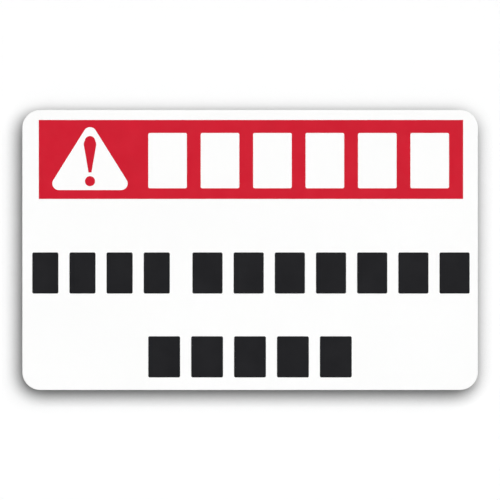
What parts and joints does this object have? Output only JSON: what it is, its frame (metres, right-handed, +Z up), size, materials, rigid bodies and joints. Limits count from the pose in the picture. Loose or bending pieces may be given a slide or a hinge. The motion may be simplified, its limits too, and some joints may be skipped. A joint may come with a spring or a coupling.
{
  "type": "high voltage warning sign",
  "caption": "Flat white plastic wall sign with round corners, a red header band with a warning triangle, and rows of black blocks below.",
  "frame": {"origin": "middle of the flat back face, which goes against the wall or bracket plate", "axes": "+X along the sign's width, to the right as it is read; +Y out of the flat back, so the printed front faces -Y; +Z up"},
  "size_m": [0.33, 0.0016, 0.203],
  "materials": {
    "white_plastic": "satin",
    "red_print": "satin",
    "black_print": "satin"
  },
  "bodies": {
    "root": {"sign_panel": "white_plastic", "header_band": "red_print", "exclamation_mark": "red_print", "first_row": "black_print", "second_row": "black_print"}
  },
  "joints": []
}
